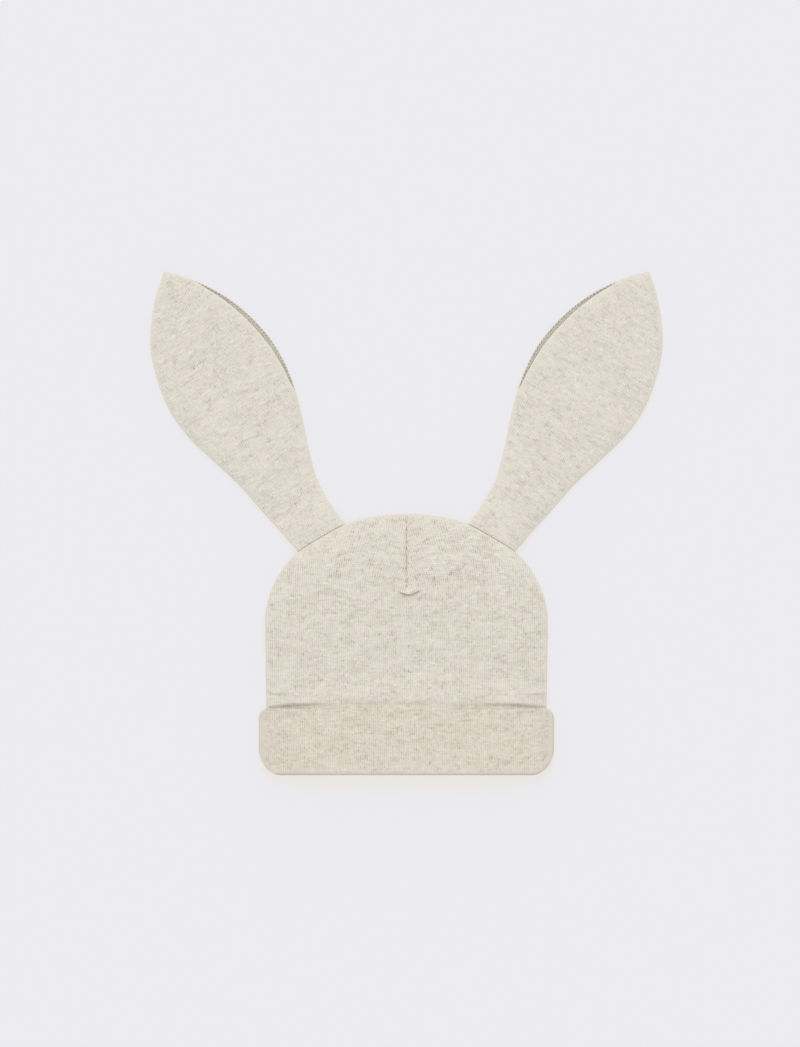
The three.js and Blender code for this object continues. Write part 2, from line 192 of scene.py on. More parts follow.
def crown_side(side, share):
    """Right (1) or left (-1) edge of the crown, up its side seam and on round the dome's shoulder."""
    up = np.clip(share / SIDE_SEAM_SHARE, 0, 1)
    round_dome = np.clip((share - SIDE_SEAM_SHARE) / (1 - SIDE_SEAM_SHARE), 0, 1)
    straight = np.stack([
        side * (CROWN_FOOT_HALF_WIDTH + (DOME_HALF_WIDTH - CROWN_FOOT_HALF_WIDTH) * up),
        CROWN_FOOT_Y + (DOME_FOOT_Y - CROWN_FOOT_Y) * up], -1)
    curved = dome_point(SHOULDER * round_dome) * [side, 1]
    return np.where((share < SIDE_SEAM_SHARE)[..., None], straight, curved)


def crown_net(across, up):
    """Plan points of a crown panel: a blend of its four edges, in rows from the band upwards."""
    a, u = np.meshgrid(across, up)
    a, u = a[..., None], u[..., None]
    top = dome_point(math.pi - SHOULDER - a[..., 0] * (math.pi - 2 * SHOULDER))
    left, right = crown_side(-1, u[..., 0]), crown_side(1, u[..., 0])
    foot = np.array([CROWN_FOOT_HALF_WIDTH, CROWN_FOOT_Y])
    bottom = np.concatenate([(2 * a - 1) * foot[0], np.full_like(a, foot[1])], -1)
    shoulder = dome_point(np.array(SHOULDER))
    shoulders = np.concatenate([(2 * a - 1) * shoulder[0], np.full_like(a, shoulder[1])], -1)
    return bottom * (1 - u) + top * u + left * (1 - a) + right * a - (bottom * (1 - u) + shoulders * u)


def crown_outline():
    """Side seams and dome in one line. The sides run on straight below the crown's foot."""
    below = 40.0
    dome_points = 241
    slope = (DOME_HALF_WIDTH - CROWN_FOOT_HALF_WIDTH) / (DOME_FOOT_Y - CROWN_FOOT_Y)
    foot_x = CROWN_FOOT_HALF_WIDTH - slope * below
    foot_y = CROWN_FOOT_Y - below
    dome = dome_point(np.linspace(math.pi, 0, dome_points))
    return np.concatenate([[[-foot_x, foot_y]], dome, [[foot_x, foot_y]]])


def outline_distance(points, outline):
    """Distance in plan from each point to the nearest stretch of an outline."""
    start, along = outline[:-1], np.diff(outline, axis=0)
    flat = points.reshape(-1, 1, 2)
    share = np.clip(((flat - start) * along).sum(-1) / (along ** 2).sum(-1), 0, 1)
    nearest = start + share[..., None] * along
    return np.sqrt(((flat - nearest) ** 2).sum(-1).min(1)).reshape(points.shape[:-1])


ON_SEAM = 1e-6
LEAST_SLOPE = 1e-3


def face_normals(points, distance, way):
    """Unit normals of a cloth's upper (1) or lower (-1) face, which is a grid of points. They are
    level at the seam, where the face turns over into the cloth's edge."""
    normal = np.cross(np.gradient(points, axis=1), np.gradient(points, axis=0))
    normal /= np.linalg.norm(normal, axis=-1, keepdims=True)
    normal *= np.sign(normal[..., 2:].sum()) * way
    normal[distance < ON_SEAM] *= [1, 1, 0]
    normal[np.linalg.norm(normal, axis=-1) < LEAST_SLOPE] = [0, 0, way]
    return normal / np.linalg.norm(normal, axis=-1, keepdims=True)


def mesh_piece(name, points, faces, face_uvs, at_edge, material):
    """A smooth mesh in metres from millimetre points, with a UV map in millimetres of cloth. What
    lies at a fold or a seam is marked with 1, and the open cloth with 0. The heather is painted lighter
    there, as a painted highlight."""
    mesh = bpy.data.meshes.new(name)
    mesh.from_pydata((np.asarray(points) * MM).tolist(), [], faces)
    mesh.shade_smooth()
    layer = mesh.uv_layers.new(name="cloth")
    layer.data.foreach_set("uv", np.asarray(face_uvs, dtype=np.float32).ravel())
    marks = mesh.attributes.new("at_edge", "FLOAT", "POINT")
    marks.data.foreach_set("value", np.asarray(at_edge, dtype=np.float32).ravel())
    mesh.materials.append(material)
    mesh.validate()
    piece = bpy.data.objects.new(name, mesh)
    bpy.context.scene.collection.objects.link(piece)
    return piece


RIM_STEPS = 4
EDGE_STRIP = 2.2


def cloth_wall(name, outer, inner, uv, uv_left, distance, material, facing=1):
    """A sheet of cloth with its thickness, from its outer and inner face; its edges are rounded.
    uv holds the cloth coordinates of each grid point, and uv_left those that the faces left of
    the dart use, where the cloth is cut. distance is each point's distance from the seam."""
    rows, columns = outer.shape[:2]
    index = np.arange(rows * columns).reshape(rows, columns)
    border = np.concatenate([
        index[0, :-1], index[:-1, -1], index[-1, :0:-1], index[:0:-1, 0]])
    inward = np.concatenate([
        index[1, :-1], index[:-1, -2], index[-2, :0:-1], index[:0:-1, 1]])
    flat_outer, flat_inner = outer.reshape(-1, 3), inner.reshape(-1, 3)
    flat_uv, flat_uv_left = uv.reshape(-1, 2), uv_left.reshape(-1, 2)
    middle = (flat_outer[border] + flat_inner[border]) / 2
    half = flat_outer[border] - middle
    out = flat_outer[border] - flat_outer[inward]
    out -= half * ((out * half).sum(-1) / (half ** 2).sum(-1))[:, None]
    out /= np.linalg.norm(out, axis=-1, keepdims=True)
    radius = np.linalg.norm(half, axis=-1, keepdims=True)
    angles = np.pi * np.arange(1, RIM_STEPS) / RIM_STEPS
    rim = np.concatenate([middle + half * math.cos(t) + out * radius * math.sin(t) for t in angles])
    points = np.concatenate([flat_outer, flat_inner, rim])
    uv_out = flat_uv[border] - flat_uv[inward]
    uv_out /= np.linalg.norm(uv_out, axis=-1, keepdims=True) + 1e-9
    rim_uv = np.concatenate([flat_uv[border] + uv_out * radius * t for t in angles])
    all_uv = np.concatenate([flat_uv, flat_uv, rim_uv])
    all_uv_left = np.concatenate([flat_uv_left, flat_uv_left, rim_uv])

    a, b, c, d = index[:-1, :-1], index[:-1, 1:], index[1:, 1:], index[1:, :-1]
    quads = np.stack([a, b, c, d], -1)
    left_half = np.zeros(quads.shape[:2], bool)
    left_half[:, : (columns - 1) // 2] = True
    quads, left_half = quads.reshape(-1, 4), left_half.ravel()
    count = rows * columns
    loops = [border]
    loops += [2 * count + k * len(border) + np.arange(len(border)) for k in range(RIM_STEPS - 1)]
    loops.append(border + count)
    strips = []
    for first, second in zip(loops[:-1], loops[1:]):
        strips.append(np.stack([first, second, np.roll(second, -1), np.roll(first, -1)], -1))
    strip_quads = np.concatenate(strips)
    faces = np.concatenate([quads, quads[:, ::-1] + count, strip_quads])
    use_left = np.concatenate([left_half, left_half, np.zeros(len(strip_quads), bool)])
    if facing < 0:
        faces = faces[:, ::-1]
    face_uvs = np.where(use_left[:, None, None], all_uv_left[faces], all_uv[faces])
    at_edge = 1 - ramp(distance, 0, EDGE_STRIP).ravel()
    at_edge = np.concatenate([at_edge, at_edge, np.ones(len(rim))])
    return mesh_piece(name, points, faces.tolist(), face_uvs, at_edge, material)


def gentle_waves(x, y, seed, height, wavelength):
    """Low, irregular waves of a cloth that was smoothed by hand, from a few crossing ripples."""
    ripples = 7
    shortest = 0.7
    longest = 1.8
    random = np.random.default_rng(seed)
    total = np.zeros_like(x)
    for _ in range(ripples):
        turn, phase = random.uniform(0, 2 * np.pi, 2)
        length = wavelength * random.uniform(shortest, longest)
        total += np.sin(2 * np.pi * (x * np.cos(turn) + y * np.sin(turn)) / length + phase)
    return height * total / math.sqrt(ripples)


def knitted_heather(name, light, middle, dark, wale, course, relief, contrast=1.0):
    """Cotton in melange yarn, machine-knitted in fine ribs. The yarn is spun from pale and dark
    fibres, so its shade changes along each course. A dark stretch shows as a row of short ticks,
    because it sinks between the ribs, and a pale one as a soft dash across them. Lengths are in
    millimetres of cloth, and scales are per millimetre."""
    wander_scale = 0.11
    wander_reach = 1.1
    ragged_reach = 1.5
    tick_length = 2.5
    tick_seed = 17.1
    tick_seeds_apart = 5.37
    fibre_scale = 2.6
    base_tone = 0.56
    # Painted highlight: how much lighter the tone is painted where the cloth turns over at a fold or a
    # seam
    painted_edge_highlight = 0.05
    edge_calm = 0.6
    material, tree = new_material(name)
    cloth = node(tree, "ShaderNodeUVMap", uv_map="cloth")
    wander = node(tree, "ShaderNodeTexNoise", {"Vector": cloth, "Scale": wander_scale, "Detail": 1.0})
    shifted = node(tree, "ShaderNodeVectorMath", {
        0: wander.outputs["Color"], 1: (wander_reach, wander_reach, 0)}, operation="MULTIPLY")
    place = node(tree, "ShaderNodeVectorMath", {0: cloth, 1: shifted}, operation="ADD")
    split = node(tree, "ShaderNodeSeparateXYZ", {0: place})
    u, v = split.outputs[0], split.outputs[1]

    def patches(across, along, seed, detail, places):
        """Noise about 0, in patches of the given size in millimetres of cloth."""
        over = node(tree, "ShaderNodeMath", {0: u, 1: across}, operation="DIVIDE")
        up = node(tree, "ShaderNodeMath", {0: places, 1: along}, operation="DIVIDE")
        spot = node(tree, "ShaderNodeCombineXYZ", {0: over, 1: up, 2: seed})
        noise = node(tree, "ShaderNodeTexNoise", {
            "Vector": spot, "Scale": 1.0, "Detail": detail, "Roughness": 0.6})
        return node(tree, "ShaderNodeMath", {0: noise, 1: 0.5}, operation="SUBTRACT")

    # Ribs run up the cloth, and their loops lie in slanting courses across them
    wale_phase = node(tree, "ShaderNodeMath", {0: u, 1: wale}, operation="DIVIDE")
    rib_turn = node(tree, "ShaderNodeMath", {0: wale_phase, 1: 2 * math.pi}, operation="MULTIPLY")
    ribs = node(tree, "ShaderNodeMath", {0: rib_turn}, operation="COSINE")
    groove = node(tree, "ShaderNodeMath", {0: ribs, 1: -0.5, 2: 0.5}, operation="MULTIPLY_ADD")
    wale_number = node(tree, "ShaderNodeMath", {0: wale_phase}, operation="FLOOR")
    wale_share = node(tree, "ShaderNodeMath", {0: wale_phase}, operation="FRACT")
    off_middle = node(tree, "ShaderNodeMath", {0: wale_share, 1: 0.5}, operation="SUBTRACT")
    slant = node(tree, "ShaderNodeMath", {0: off_middle}, operation="ABSOLUTE")
    course_phase = node(tree, "ShaderNodeMath", {0: v, 1: course}, operation="DIVIDE")
    loop_phase = node(tree, "ShaderNodeMath", {0: course_phase, 1: slant}, operation="ADD")
    loop_turn = node(tree, "ShaderNodeMath", {0: loop_phase, 1: 2 * math.pi}, operation="MULTIPLY")
    loops = node(tree, "ShaderNodeMath", {0: loop_turn}, operation="COSINE")

    # Shades of the yarn: broad clouds, dashes along the courses, and ticks that differ in each groove
    clouds = patches(across=13.0, along=5.0, seed=1.7, detail=2.0, places=v)
    dashes = patches(across=5.2, along=1.5, seed=5.3, detail=2.0, places=v)
    tick_column = node(tree, "ShaderNodeMath", {0: wale_number, 1: tick_seeds_apart}, operation="MULTIPLY")
    tick_row = node(tree, "ShaderNodeMath", {0: v, 1: tick_length}, operation="DIVIDE")
    tick_spot = node(tree, "ShaderNodeCombineXYZ", {0: tick_column, 1: tick_row, 2: tick_seed})
    tick_noise = node(tree, "ShaderNodeTexNoise", {"Vector": tick_spot, "Scale": 1.0, "Detail": 1.0})
    tick_shade = node(tree, "ShaderNodeMath", {0: tick_noise, 1: 0.5}, operation="SUBTRACT")
    in_groove = node(tree, "ShaderNodeMath", {0: groove, 1: 0.7, 2: 0.3}, operation="MULTIPLY_ADD")
    ticks = node(tree, "ShaderNodeMath", {0: tick_shade, 1: in_groove}, operation="MULTIPLY")

    # The darkest yarn shows in the grooves only, and starts and ends at its own height in each
    wale_shift = node(tree, "ShaderNodeTexWhiteNoise", {"W": wale_number}, noise_dimensions="1D")
    ragged = node(tree, "ShaderNodeMath", {0: wale_shift, 1: ragged_reach, 2: v}, operation="MULTIPLY_ADD")
    dark_yarn = node(tree, "ShaderNodeMapRange", {
        "Value": patches(across=4.8, along=2.7, seed=9.1, detail=1.0, places=ragged),
        "From Min": 0.05, "From Max": 0.26}, interpolation_type="SMOOTHSTEP")
    deep_groove = node(tree, "ShaderNodeMath", {0: groove, 1: 0.9, 2: 0.1}, operation="MULTIPLY_ADD")
    dark_ticks = node(tree, "ShaderNodeMath", {0: dark_yarn, 1: deep_groove}, operation="MULTIPLY")
    pale_yarn = node(tree, "ShaderNodeMapRange", {
        "Value": patches(across=4.6, along=1.1, seed=23.9, detail=1.0, places=v),
        "From Min": 0.06, "From Max": 0.20}, interpolation_type="SMOOTHSTEP")
    on_rib = node(tree, "ShaderNodeMath", {0: groove, 1: -0.6, 2: 0.8}, operation="MULTIPLY_ADD")
    pale_dashes = node(tree, "ShaderNodeMath", {0: pale_yarn, 1: on_rib}, operation="MULTIPLY")
    fibre = node(tree, "ShaderNodeTexNoise", {"Vector": place, "Scale": fibre_scale, "Detail": 2.0})
    fibres = node(tree, "ShaderNodeMath", {0: fibre, 1: 0.5}, operation="SUBTRACT")

    # All shades are added up, calmed where the cloth turns over at a fold or a seam, and lifted there as a
    # painted highlight
    # The groove share paints the grooves between the ribs a little darker, as painted shade.
    shares = [
        (clouds, 0.38), (dashes, 0.44), (ticks, 0.54), (dark_ticks, -0.27),
        (pale_dashes, 0.46), (fibres, 0.22), (groove, -0.14), (loops, 0.02)]
    detail = 0.0
    for part, share in shares:
        detail = node(tree, "ShaderNodeMath", {0: part, 1: share * contrast, 2: detail},
                      operation="MULTIPLY_ADD")
    edge = node(tree, "ShaderNodeAttribute", attribute_name="at_edge").outputs["Fac"]
    calm = node(tree, "ShaderNodeMath", {0: edge, 1: -edge_calm, 2: 1.0}, operation="MULTIPLY_ADD")
    open_tone = node(tree, "ShaderNodeMath", {0: detail, 1: calm, 2: base_tone}, operation="MULTIPLY_ADD")
    tone = node(tree, "ShaderNodeMath", {0: edge, 1: painted_edge_highlight, 2: open_tone}, operation="MULTIPLY_ADD")
    shades = node(tree, "ShaderNodeValToRGB", {"Fac": tone})
    shades.color_ramp.elements[0].position = 0.0
    shades.color_ramp.elements[0].color = linear(dark)
    shades.color_ramp.elements[1].position = 1.0
    shades.color_ramp.elements[1].color = linear(light)
    shades.color_ramp.elements.new(0.5).color = linear(middle)

    # Some stretches of yarn are a trace rosier and others a trace greener
    cast_noise = patches(across=10.0, along=5.0, seed=31.0, detail=1.0, places=v)
    cast_tone = node(tree, "ShaderNodeMath", {0: cast_noise, 1: 0.5}, operation="ADD")
    casts = node(tree, "ShaderNodeValToRGB", {"Fac": cast_tone})
    casts.color_ramp.elements[0].position = 0.25
    casts.color_ramp.elements[0].color = linear("#FFFDFD")
    casts.color_ramp.elements[1].position = 0.75
    casts.color_ramp.elements[1].color = linear("#FCFFFB")
    colour = node(tree, "ShaderNodeMix", {0: 1.0, 6: shades, 7: casts},
                  data_type="RGBA", blend_type="MULTIPLY").outputs[2]

    # Ribs, loops and fluff stand up a little from the cloth
    knit = node(tree, "ShaderNodeMath", {0: loops, 1: 0.3, 2: ribs}, operation="MULTIPLY_ADD")
    height = node(tree, "ShaderNodeMath", {0: fibres, 1: 0.9, 2: knit}, operation="MULTIPLY_ADD")
    bump = node(tree, "ShaderNodeBump", {"Height": height, "Distance": relief * MM, "Strength": 1.0})
    shader = node(tree, "ShaderNodeBsdfPrincipled", {
        "Base Color": colour, "Normal": bump, "Roughness": 0.93,
        "Specular IOR Level": 0.25, "Sheen Weight": 0.25, "Sheen Roughness": 0.4})
    node(tree, "ShaderNodeOutputMaterial", {"Surface": shader})
    return material


# The ribs are as far apart as in the real jersey. Its courses are finer than can be seen from
# the camera, so they are drawn coarser.
JERSEY_WALE = 1.23
COURSE = 0.9
jersey = knitted_heather("oatmeal_heather_jersey", "#F0E9DD", "#DDD5C8", "#A39A89",
                         wale=JERSEY_WALE, course=COURSE, relief=0.11)

LEG_LIFT_ABOVE_BAND = 2.0
LEG_LIFT_END_Y = -88.0
BAND_EDGE_WAVE = 0.5
BAND_EDGE_WAVE_RADIAN = 17.0


def near_band(y):
    """1 where the crown lies inside the band, falling to 0 further up."""
    return 1 - ramp(y, BAND_TOP_Y + LEG_LIFT_ABOVE_BAND, LEG_LIFT_END_Y)


def band_edge_y(x):
    """Upper edge of the turned-up band, which waves a little."""
    return BAND_TOP_Y + BAND_EDGE_WAVE * np.cos(x / BAND_EDGE_WAVE_RADIAN)


# Where the crown's middle stands flush with the band's edge: how wide, and between which
# distances above the edge it rises and falls again
FLUSH = {"half_width": 36.0, "rises": -1.8, "full": -0.4, "falls": 3.0, "gone": 22.0}


def front_height(x, y, distance):
    """Upper face of the crown front before its dart, tuck, creases and puckers."""
    above_band = y - band_edge_y(x)
    flush = bell(x, FLUSH["half_width"]) * ramp(above_band, FLUSH["rises"], FLUSH["full"])
    flush = flush * (1 - ramp(above_band, FLUSH["falls"], FLUSH["gone"]))
    top = CROWN_TOP_Z + (BAND_LEG_TOP_Z - CROWN_TOP_Z) * near_band(y) + CROWN_BULGE * flush
    base = SEAM_Z + SEAM_GAP / 2
    return base + (top - base) * puff_share(distance, CROWN_REACH)


# Creases where the crown is pushed together above the band. Each runs from x start to x end at
# height y, dips by its bow towards the hat's sides, and has a soft roll of cloth above it.
BAND_CREASES = [
    {"start": -81.0, "end": -38.0, "y": -106.7, "bow": -2.2, "valley": 1.15, "roll": 0.65},
    {"start": 38.0, "end": 81.5, "y": -106.8, "bow": -2.0, "valley": 1.1, "roll": 0.65},
]
CREASE_BOW_POWER = 3
CREASE_FADE = {"full_at": 0.55, "eases_from": 0.7, "lost_at_end": 0.75}
CREASE_WIDTH = {"above": 1.2, "below": 2.0}
CREASE_ROLL = {"above": 2.4, "width": 2.0}

# A shallow hollow just above the band's edge, in the middle of the front
HOLLOW = {"depth": 1.1, "half_width": 48.0, "above_edge": 1.3, "width": 2.0}

# Small puckers: the place, half length and half width of each, its turn and its depth. Each has
# a low roll of cloth on its upper side, given in shares of its width and depth.
PUCKERS = [
    {"x": -75.5, "y": -100.7, "length": 4.0, "width": 0.8, "turn": -4, "depth": 0.9},
    {"x": 76.0, "y": -100.6, "length": 4.0, "width": 0.8, "turn": 5, "depth": 0.9},
    {"x": -38.0, "y": -104.4, "length": 9.0, "width": 1.6, "turn": -8, "depth": 0.30},
    {"x": 24.0, "y": -103.0, "length": 11.0, "width": 2.2, "turn": 6, "depth": 0.25},
]
PUCKER_ROLL = {"height": 0.6, "above": 2, "width": 1.5}


def crease_relief(x, y):
    """The hollow along the band's edge in the middle, and a crease on each side."""
    above_edge = y - band_edge_y(x) - HOLLOW["above_edge"]
    total = -HOLLOW["depth"] * bell(x, HOLLOW["half_width"]) * bell(above_edge, HOLLOW["width"])
    for crease in BAND_CREASES:
        outside = max(abs(crease["start"]), abs(crease["end"]))
        inside = min(abs(crease["start"]), abs(crease["end"]))
        outwards = np.clip((np.abs(x) - inside) / (outside - inside), 0, 1)
        above = y - crease["y"] - crease["bow"] * outwards ** CREASE_BOW_POWER
        on_side = np.sign(x) == np.sign(crease["start"] + crease["end"])
        easing = 1 - CREASE_FADE["lost_at_end"] * ramp(outwards, CREASE_FADE["eases_from"], 1.0)
        fade = ramp(outwards, 0.0, CREASE_FADE["full_at"]) * on_side * easing
        width = np.where(above > 0, CREASE_WIDTH["above"], CREASE_WIDTH["below"])
        total -= crease["valley"] * fade * bell(above, width)
        total += crease["roll"] * fade * bell(above - CREASE_ROLL["above"], CREASE_ROLL["width"])
    return total


def pucker_relief(x, y, puckers):
    """Short dips in the cloth, each along its own line."""
    total = np.zeros_like(x)
    for pucker in puckers:
        turn = math.radians(pucker["turn"])
        width = pucker["width"]
        along = (x - pucker["x"]) * math.cos(turn) + (y - pucker["y"]) * math.sin(turn)
        across = (y - pucker["y"]) * math.cos(turn) - (x - pucker["x"]) * math.sin(turn)
        roll = bell(across - PUCKER_ROLL["above"] * width, PUCKER_ROLL["width"] * width)
        dip = bell(across, width) - PUCKER_ROLL["height"] * roll
        total -= pucker["depth"] * bell(along, pucker["length"]) * dip
    return total


# The dart fades in over its first millimetres. Its groove is sharp at the thread and wider round
# it, and the cloth plumps up on both sides.
DART_FADE = {"below_end": 1.0, "above_end": 3.0}
DART_GROOVE = {"depth": 0.9, "width": 0.55}
DART_DIP = {"depth": 0.3, "width": 2.0}
DART_ROLL = {"height": 0.2, "from_seam": 4.5, "width": 2.5}


def dart_relief(x, y):
    """The sewn dart: a narrow groove with the cloth plumping up on both sides."""
    along = ramp(y, DART_END_Y - DART_FADE["below_end"], DART_END_Y + DART_FADE["above_end"])
    groove = DART_GROOVE["depth"] * bell(x, DART_GROOVE["width"])
    dip = DART_DIP["depth"] * bell(x, DART_DIP["width"])
    roll = DART_ROLL["height"] * bell(np.abs(x) - DART_ROLL["from_seam"], DART_ROLL["width"])
    return along * (-groove - dip + roll)


TUCK_HALF_WIDTH = 6.6
TUCK_CENTRE_X = 1.8
TUCK_LOW_Y = -41.0
TUCK_BOW = 1.9
TUCK_BOW_POWER = 1.6
TUCK_TILT = 0.5
TUCK_END_POWER = 0.6
TUCK_LIP = {"height": 1.45, "fades_over": 3.0, "edge": (-0.1, 0.3)}
TUCK_STEP = {"depth": 1.0, "fades_over": 2.2, "edge": (-0.3, 0.1)}
TUCK_OVERHANG = {"reach": 0.9, "fades_over": 1.4}


def tuck_relief(x, y):
    """The tuck below the dart, as its height and how far its lip hangs over the curved step."""
    across = (x - TUCK_CENTRE_X) / TUCK_HALF_WIDTH
    line = TUCK_LOW_Y + TUCK_BOW * np.abs(across) ** TUCK_BOW_POWER + TUCK_TILT * across
    envelope = np.clip(1 - across * across, 0, 1) ** TUCK_END_POWER
    above = y - line
    upwards = np.clip(above, 0, None)
    downwards = np.clip(above, None, 0)
    on_lip = ramp(above, *TUCK_LIP["edge"])
    lip = on_lip * np.exp(-upwards / TUCK_LIP["fades_over"])
    below = (1 - ramp(above, *TUCK_STEP["edge"])) * np.exp(downwards / TUCK_STEP["fades_over"])
    overhang = on_lip * np.exp(-upwards / TUCK_OVERHANG["fades_over"])
    height = envelope * (TUCK_LIP["height"] * lip - TUCK_STEP["depth"] * below)
    return height, -TUCK_OVERHANG["reach"] * envelope * overhang


DART_TURN = {"angle": math.radians(19), "starts": math.radians(75), "full": math.radians(165),
             "reach": 80.0}


def dart_cloth(x, y, side):
    """Cloth coordinates of the right (1) or left (-1) half. A wedge of cloth was cut away above the
    dart's point, so the ribs and courses on each side turn about that point towards the seam."""
    across, up = x, y - DART_END_Y
    from_below = np.arctan2(np.abs(across), -up)
    turn = side * DART_TURN["angle"] * ramp(from_below, DART_TURN["starts"], DART_TURN["full"])
    turn = turn * bell(np.hypot(across, up), DART_TURN["reach"])
    return np.stack([across * np.cos(turn) + up * np.sin(turn),
                     DART_END_Y - across * np.sin(turn) + up * np.cos(turn)], -1)


def stretches(*ends_and_cells):
    """Places along a line: from each end to the next in the given number of even cells."""
    places = [np.array([ends_and_cells[0]], float)]
    for cells, end in zip(ends_and_cells[1::2], ends_and_cells[2::2]):
        places.append(np.linspace(places[-1][-1], end, cells + 1)[1:])
    return np.concatenate(places)


def rows_at(heights):
    """Row shares of the crown's net that meet the middle line at these heights."""
    samples = 2001
    shares = np.linspace(0, 1, samples)
    middle = crown_net(np.array([0.5]), shares)[:, 0, 1]
    return np.interp(heights, middle, shares)


# The front and the band over it share their waves. These come up between two distances from the
# seam, and the dart, tuck and creases within RELIEF_FULL of it.
FRONT_WAVES = {"seed": 11, "height": 0.18, "wavelength": 36.0}
WAVES_START = 2
WAVES_FULL = 20
RELIEF_FULL = 2.5

# Cells are smallest over the dart, the tuck and the creases, and where the edge rounds over
front_bend = CROWN_REACH * (1 - np.cos(np.linspace(0, np.pi / 2, 25)))
front_middle = stretches(CROWN_REACH, 24, DOME_HALF_WIDTH - 9, 26, DOME_HALF_WIDTH)
left_part = np.concatenate([front_bend, front_middle[1:]])
right_part = 2 * DOME_HALF_WIDTH - left_part[-2::-1]
front_across = np.concatenate([left_part, right_part]) / (2 * DOME_HALF_WIDTH)
top_y = DOME_FOOT_Y + DOME_RISE
front_rows = stretches(CROWN_FOOT_Y, 4, -110.0, 56, -94.0, 33, -45.0, 50, -36.0, 28, -7.0, 12, 2.0)
front_rows = np.concatenate([front_rows, top_y - (top_y - 2.0) * np.linspace(1, 0, 9)[1:] ** 2])
front_plan = crown_net(front_across, rows_at(front_rows))
fx, fy = front_plan[..., 0], front_plan[..., 1]
front_distance = outline_distance(front_plan, crown_outline())
front_base = np.dstack([fx, fy, front_height(fx, fy, front_distance)])
front_base[..., 2] += gentle_waves(fx, fy, **FRONT_WAVES) * ramp(front_distance, WAVES_START, WAVES_FULL)
front_normal = face_normals(front_base, front_distance, 1)
tuck_height, tuck_overhang = tuck_relief(fx, fy)
front_relief = dart_relief(fx, fy) + tuck_height + crease_relief(fx, fy)
front_relief += pucker_relief(fx, fy, PUCKERS)
front_relief *= ramp(front_distance, 0, RELIEF_FULL)
front_outer = front_base + front_normal * front_relief[..., None]
front_outer[..., 1] += tuck_overhang
front_inner = front_base - front_normal * JERSEY_THICK
crown_front = cloth_wall(
    "crown_front_panel", front_outer, front_inner,
    dart_cloth(fx, fy, 1), dart_cloth(fx, fy, -1), front_distance, jersey)
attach(crown_front, "root")
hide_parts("crown_front")


def stitch_tree():
    """Geometry nodes that sew stitches along a line of edges: even steps along it, with a short
    length of thread lying at each, all made into one mesh."""
    tree = bpy.data.node_groups.new("sewn_stitches", "GeometryNodeTree")
    tree.interface.new_socket("Seam", in_out="INPUT", socket_type="NodeSocketGeometry")
    for name in ("Pitch", "Length", "Thickness", "Lean", "Unevenness"):
        tree.interface.new_socket(name, in_out="INPUT", socket_type="NodeSocketFloat")
    tree.interface.new_socket("Seed", in_out="INPUT", socket_type="NodeSocketInt")
    tree.interface.new_socket("Thread", in_out="INPUT", socket_type="NodeSocketMaterial")
    tree.interface.new_socket("Stitches", in_out="OUTPUT", socket_type="NodeSocketGeometry")
    given = node(tree, "NodeGroupInput").outputs
    seam = node(tree, "GeometryNodeMeshToCurve", {"Mesh": given["Seam"]})
    steps = node(tree, "GeometryNodeResampleCurve", {"Curve": seam, "Length": given["Pitch"]},
                 mode="LENGTH")
    half_length = node(tree, "ShaderNodeMath", {0: given["Length"], 1: 0.5}, operation="MULTIPLY")
    half_thickness = node(tree, "ShaderNodeMath", {0: given["Thickness"], 1: 0.5}, operation="MULTIPLY")
    size = node(tree, "ShaderNodeCombineXYZ", {0: half_thickness, 1: half_length, 2: half_thickness})
    ball = node(tree, "GeometryNodeMeshUVSphere", {"Segments": 8, "Rings": 6, "Radius": 1.0})
    stitch = node(tree, "GeometryNodeTransform", {"Geometry": ball, "Scale": size})
    tangent = node(tree, "GeometryNodeInputTangent")
    along = node(tree, "FunctionNodeAlignRotationToVector", {"Vector": tangent}, axis="Y")
    lean = node(tree, "FunctionNodeAxisAngleToRotation", {"Axis": (0, 0, 1), "Angle": given["Lean"]})
    turned = node(tree, "FunctionNodeRotateRotation", {"Rotation": along, "Rotate By": lean},
                  rotation_space="LOCAL")
    least = node(tree, "ShaderNodeMath", {0: 1.0, 1: given["Unevenness"]}, operation="SUBTRACT")
    most = node(tree, "ShaderNodeMath", {0: 1.0, 1: given["Unevenness"]}, operation="ADD")
    uneven = node(tree, "FunctionNodeRandomValue", {2: least, 3: most, "Seed": given["Seed"]},
                  data_type="FLOAT").outputs[1]
    sewn = node(tree, "GeometryNodeInstanceOnPoints", {
        "Points": steps, "Instance": stitch, "Rotation": turned, "Scale": uneven})
    real = node(tree, "GeometryNodeRealizeInstances", {"Geometry": sewn})
    finish = node(tree, "GeometryNodeSetMaterial", {"Geometry": real, "Material": given["Thread"]})
    node(tree, "NodeGroupOutput", {"Stitches": finish})
    return tree


def cotton_thread_material():
    """Spun cotton sewing thread, matt, in a taupe that is darker than the cloth. Its fluff shows
    as specks about a millimetre long."""
    specks_per_metre = 900.0
    material, tree = new_material("taupe_cotton_thread")
    place = node(tree, "ShaderNodeTexCoord").outputs["Object"]
    fluff = node(tree, "ShaderNodeTexNoise", {"Vector": place, "Scale": specks_per_metre})
    shades = node(tree, "ShaderNodeValToRGB", {"Fac": fluff})
    shades.color_ramp.elements[0].color = linear("#8C8373")
    shades.color_ramp.elements[1].color = linear("#B0A797")
    shader = node(tree, "ShaderNodeBsdfPrincipled", {"Base Color": shades, "Roughness": 0.85})
    node(tree, "ShaderNodeOutputMaterial", {"Surface": shader})
    return material


sewing = stitch_tree()
thread = cotton_thread_material()


